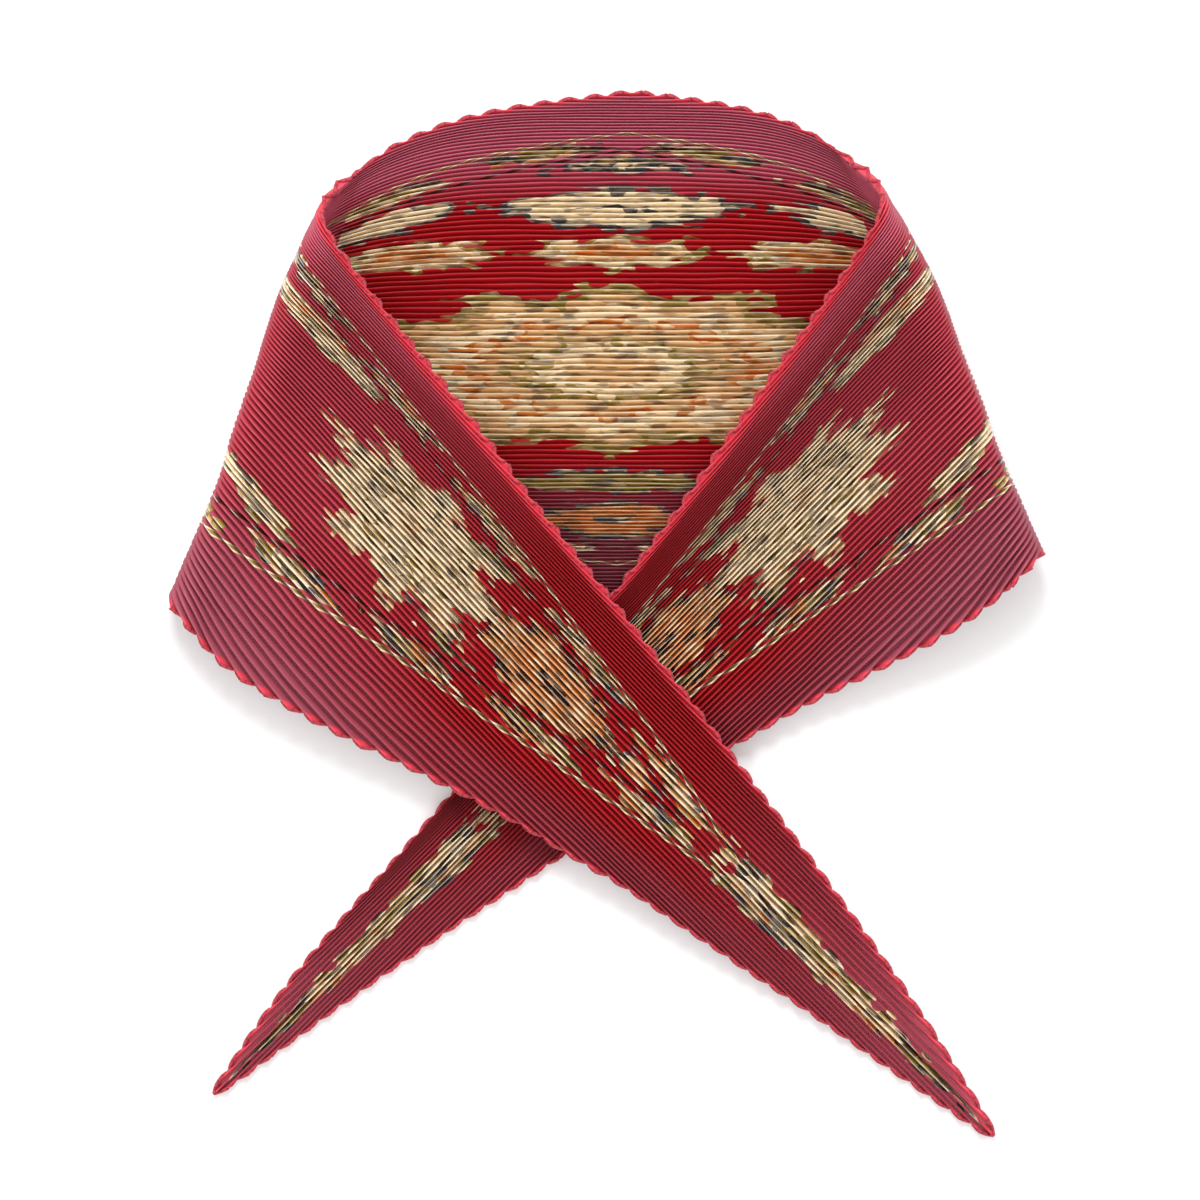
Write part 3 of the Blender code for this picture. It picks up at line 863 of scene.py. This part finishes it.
def add_strokes(ink, settings, cloth, design, strength):
    """The print's colour with short strokes of the other inks all over it."""
    noise = ink.add("ShaderNodeTexNoise", {
        "Vector": ink.local(cloth.flat, (0.0, 0.0), STROKE_SIZE), "Scale": 1.0, "Detail": 1.0,
        "Roughness": 0.6}, noise_dimensions="2D").outputs["Fac"]
    strokes = ink.ramp(noise, ((0.0, settings.brown, 1), (0.33, settings.slate, 1),
                               (0.37, settings.gold, 1), (0.40, settings.gold, 0),
                               (0.60, settings.tan, 1), (0.66, settings.cream, 1)))
    chopped = ink.times(strokes.outputs[1], ink.math("SUBTRACT", design.cover, design.fine))
    return ink.mix(ink.times(chopped, strength), design.colour, strokes.outputs[0])


def hem_band(ink, cloth, outer_side):
    """1 at the hem and 0 beyond a band along it, which is widest where the pleats open."""
    open_pleats = ink.slope(cloth.u, *OPENING_U)
    if outer_side:
        open_pleats = ink.math("SUBTRACT", open_pleats, ink.slope(cloth.u, *CLOSING_U))
    above = ink.math("SUBTRACT", 1.0, cloth.below)
    width = ink.times(above, ink.line(open_pleats, OPEN_BAND, NECK_BAND))
    width = ink.math("ADD", width, HEM_BAND)
    return ink.line(ink.math("DIVIDE", cloth.to_hem, width), -3.0, 3.0, clamp=True)


def lay_print(ink, settings, place, to_hem, outer_side):
    """The whole print of one side of the cloth: its flowers and leaves, and the frame around them."""
    red, cream, gold = settings.red, settings.cream, settings.gold
    tan, amber, brown, slate = settings.tan, settings.amber, settings.brown, settings.slate
    design = Print(ink, (*red, 1.0))
    u, v = ink.split(place)
    v_size = ink.math("ABSOLUTE", v)
    mosaic = ink.add("ShaderNodeTexVoronoi", {
        "Vector": ink.local(place, (0.0, 0.0), TILE_SIZE), "Scale": 1.0, "Randomness": 0.9},
        voronoi_dimensions="2D")
    tone = ink.bands(ink.split(mosaic.outputs["Color"])[0],
                     ((0.0, slate), (0.16, brown), (0.28, gold), (0.52, cream), (0.72, tan),
                      (0.86, amber)))

    # across the back: a row of rosettes, and only there fans, leaves, the medallion and two low rows
    design.rosette(ink.row(u, v, 0.090, 0.212), (0.0, 0.0), (0.042, 0.036), 8, 0.25,
                   ((0.0, amber), (0.42, tan), (0.62, cream), (0.86, gold)))
    if not outer_side:
        design.rosette(ink.row(u, v, 0.104, 0.424), (0.0, 0.0), (0.047, 0.058), 7, 0.30,
                       ((0.0, tan), (0.16, slate), (0.34, gold), (0.46, slate), (0.62, cream),
                        (0.72, slate)))
        design.leaf(ink.row(u, v, 0.124, 0.302), (0.0, 0.0), (0.058, 0.044), 8.0, cream, slate)
        design.rosette(place, (0.0, -0.012), (0.124, 0.168), 12, 0.22,
                       ((0.0, tan), (0.18, cream), (0.32, gold), (0.38, tan), (0.54, amber),
                        (0.60, cream), (0.74, tan), (0.88, gold)))
        design.leaf(ink.row(u, v, 0.104, -0.242), (0.0, 0.0), (0.048, 0.032), -10.0, gold, slate)
        design.leaf(ink.row(u, v, 0.062, -0.352), (0.0, 0.0), (0.036, 0.060), 0.0, amber, slate)

    # down the fronts: three flowers with leaves on both sides of them
    if outer_side:
        design.rosette(place, (0.264, 0.006), (0.060, 0.148), 9, 0.46,
                       ((0.0, tan), (0.12, cream), (0.50, gold), (0.58, cream), (0.90, tan)))
        design.rosette(place, (0.352, -0.002), (0.043, 0.092), 7, 0.30,
                       ((0.0, brown), (0.22, amber), (0.62, tan), (0.70, amber), (0.88, brown)))
        design.rosette(place, (0.424, 0.0), (0.033, 0.056), 6, 0.30,
                       ((0.0, slate), (0.26, amber), (0.60, tan), (0.84, slate)))
        both_sides = ink.add("ShaderNodeCombineXYZ", {0: u, 1: v_size}).outputs[0]
        design.leaf(both_sides, (0.196, 0.190), (0.036, 0.024), 38.0, cream, gold)
        design.leaf(both_sides, (0.306, 0.106), (0.030, 0.012), 40.0, gold, slate)

    # plain ground from inside the frame to the hem, with tiles of the mosaic between the frame lines
    outer_edge = settings.frame_distance
    inner_edge = outer_edge + settings.border_width
    design.wipe(ink.under(to_hem, inner_edge + INSIDE_LINE, 1 / BLEED))
    along = ink.times(ink.math("SUBTRACT", u, v_size), 1 / math.sqrt(2))
    tiles = ink.times(ink.between(to_hem, outer_edge + INSIDE_LINE, inner_edge - TILES_TO_LINE),
                      ink.math("LESS_THAN", ink.math("PINGPONG", along, TILES_APART), TILES_LONG))
    design.lay(tiles, tone)
    line = ink.math("MAXIMUM", ink.between(to_hem, outer_edge, outer_edge + OUTER_LINE),
                    ink.between(to_hem, inner_edge, inner_edge + INNER_LINE))
    design.lay(line, ink.bands(ink.slope(to_hem, outer_edge, outer_edge + OUTER_LINE),
                               ((0.0, cream), (0.22, gold), (0.68, cream), (0.90, brown))))
    design.fine = line

    # a strip of the mosaic that goes on from the frame's corner and narrows along each end
    if outer_side:
        width = ink.times(ink.slope(u, *END_STRIP_U), END_STRIP_WIDTH)
        strip = ink.times(ink.math("LESS_THAN", v_size, width),
                          ink.math("GREATER_THAN", u, END_STRIP_FROM))
        design.lay(strip, tone)
    return design


@functools.lru_cache(maxsize=None)
def hem_material(settings):
    """Rolled silk edge with its small hand stitches."""
    material, ink, shader = new_material("rolled_silk_hem", HEM)
    length, _ = ink.split(ink.add("ShaderNodeUVMap", uv_map="Hem").outputs[0])
    stitch = ink.math("SINE", ink.times(length, 2 * math.pi / STITCH))
    dimple = ink.under(ink.times(stitch, -1.0), -0.80, 8.0)
    grain = ink.add("ShaderNodeTexNoise", {"Scale": 900.0, "Detail": 2.0}).outputs["Fac"]
    hue = ink.add("ShaderNodeTexNoise", {"Scale": 90.0, "Detail": 1.0}).outputs["Fac"]
    # the stitch dimples get a darker red, a painted shade in their hollows; the hue noise is the
    # silk's own uneven tone
    light, deep, dimple_shade = ((*(share * c for c in settings.hem_red), 1.0)
                            for share in (1.0, 0.72, 0.5))
    ink.set(shader.inputs["Base Color"], ink.mix(dimple, ink.mix(hue, light, deep), dimple_shade))
    ink.bump(shader, ink.math("SUBTRACT", ink.times(grain, 0.5), dimple), 0.4, 0.2 * MM)
    ink.set(shader.inputs["Roughness"], ink.line(grain, 0.15, 0.40))
    return material


def floor_material(settings):
    """Pale and a little lit of itself, so that it stays white under the soft light."""
    material, _, shader = new_material("pale_floor", FLOOR)
    material.cycles.emission_sampling = "NONE"
    shader.inputs["Base Color"].default_value = (*settings.floor, 1.0)
    return material


# ---- the operators ----

class SCARF_OT_back(bpy.types.Operator):
    """Add the back of the scarf, lying on the floor"""

    bl_idname = "scarf.back"
    bl_label = "Back"

    def execute(self, context):
        add_back(context.scene.scarf)
        return {"FINISHED"}


class SCARF_OT_side_folds(bpy.types.Operator):
    """Add the two soft folds at the sides"""

    bl_idname = "scarf.side_folds"
    bl_label = "Side folds"

    def execute(self, context):
        for side, node in ((LEFT, "left_side_fold"), (RIGHT, "right_side_fold")):
            add_side(context.scene.scarf, side, node, lambda path: path["foot"],
                     lambda path: path["top"], FOLD_COLUMNS)
        return {"FINISHED"}


class SCARF_OT_front_panels(bpy.types.Operator):
    """Add the two front panels, the left one over the right one"""

    bl_idname = "scarf.front_panels"
    bl_label = "Front panels"

    def execute(self, context):
        for side, node, below in ((RIGHT, "right_front_panel", "back_silk"),
                                  (LEFT, "left_front_panel", "right_front_panel_silk")):
            add_side(context.scene.scarf, side, node, lambda path: path["top"],
                     lambda path: TAIL_START, FRONT_COLUMNS)
        return {"FINISHED"}


class SCARF_OT_tails(bpy.types.Operator):
    """Add the two tapering ends"""

    bl_idname = "scarf.tails"
    bl_label = "Tails"

    def execute(self, context):
        for side, node in ((LEFT, "right_hand_tail"), (RIGHT, "left_hand_tail")):
            add_side(context.scene.scarf, side, node, lambda path: TAIL_START,
                     lambda path: path["lengths"][-1], TAIL_COLUMNS)
        return {"FINISHED"}


class SCARF_OT_stage(bpy.types.Operator):
    """Add the pale floor, the soft lights and the camera straight above"""

    bl_idname = "scarf.stage"
    bl_label = "Stage"

    def execute(self, context):
        scene = context.scene
        bpy.ops.mesh.primitive_plane_add(size=FLOOR_SIZE, location=(0, 0, 0))
        floor = context.object
        floor.name = "floor"
        floor.data.materials.append(floor_material(scene.scarf))

        camera = bpy.data.cameras.new("view_from_above")
        camera.sensor_width = SENSOR_WIDTH
        camera.lens = SENSOR_WIDTH * CAMERA_HEIGHT / VIEW_WIDTH
        camera.clip_end = 50.0
        eye = bpy.data.objects.new("view_from_above", camera)
        eye.location = (*VIEW_MIDDLE, CAMERA_HEIGHT)
        scene.collection.objects.link(eye)
        scene.camera = eye

        for light in LIGHTS:
            add_light(scene, *light)
        world = bpy.data.worlds.new("soft_room")
        world.use_nodes = True
        background = world.node_tree.nodes["Background"]
        background.inputs["Color"].default_value = (1.0, 1.0, 1.0, 1.0)
        background.inputs["Strength"].default_value = ROOM_LIGHT
        scene.world = world
        scene.view_settings.view_transform = "Standard"
        return {"FINISHED"}


def add_light(scene, name, place, size, energy):
    """A square soft light that shines at the middle of the scarf."""
    light = bpy.data.lights.new(name, "AREA")
    light.size = size
    light.energy = energy
    lamp = bpy.data.objects.new(name, light)
    lamp.location = place
    x, y, z = place
    lamp.rotation_euler = (math.atan2(math.hypot(x, y), z), 0.0, math.atan2(x, -y))
    lamp.visible_camera = False
    scene.collection.objects.link(lamp)


class SCARF_PT_panel(bpy.types.Panel):
    """Lists the scarf's pieces and its sizes and colours"""

    bl_idname = "SCARF_PT_panel"
    bl_label = "Pleated silk scarf"
    bl_space_type = "VIEW_3D"
    bl_region_type = "UI"
    bl_category = "Scarf"

    def draw(self, context):
        for operator in OPERATORS:
            self.layout.operator(operator.bl_idname)
        for name in ScarfSettings.__annotations__:
            self.layout.prop(context.scene.scarf, name)


OPERATORS = (SCARF_OT_stage, SCARF_OT_back, SCARF_OT_side_folds, SCARF_OT_front_panels,
             SCARF_OT_tails)
CLASSES = (ScarfSettings, *OPERATORS, SCARF_PT_panel)


def register():
    for cls in CLASSES:
        bpy.utils.register_class(cls)
    bpy.types.Scene.scarf = bpy.props.PointerProperty(type=ScarfSettings)


def unregister():
    del bpy.types.Scene.scarf
    for cls in reversed(CLASSES):
        bpy.utils.unregister_class(cls)


def main():
    register()
    bpy.ops.scarf.stage()
    bpy.ops.scarf.back()
    bpy.ops.scarf.side_folds()
    bpy.ops.scarf.front_panels()
    bpy.ops.scarf.tails()


if __name__ == "__main__":
    main()
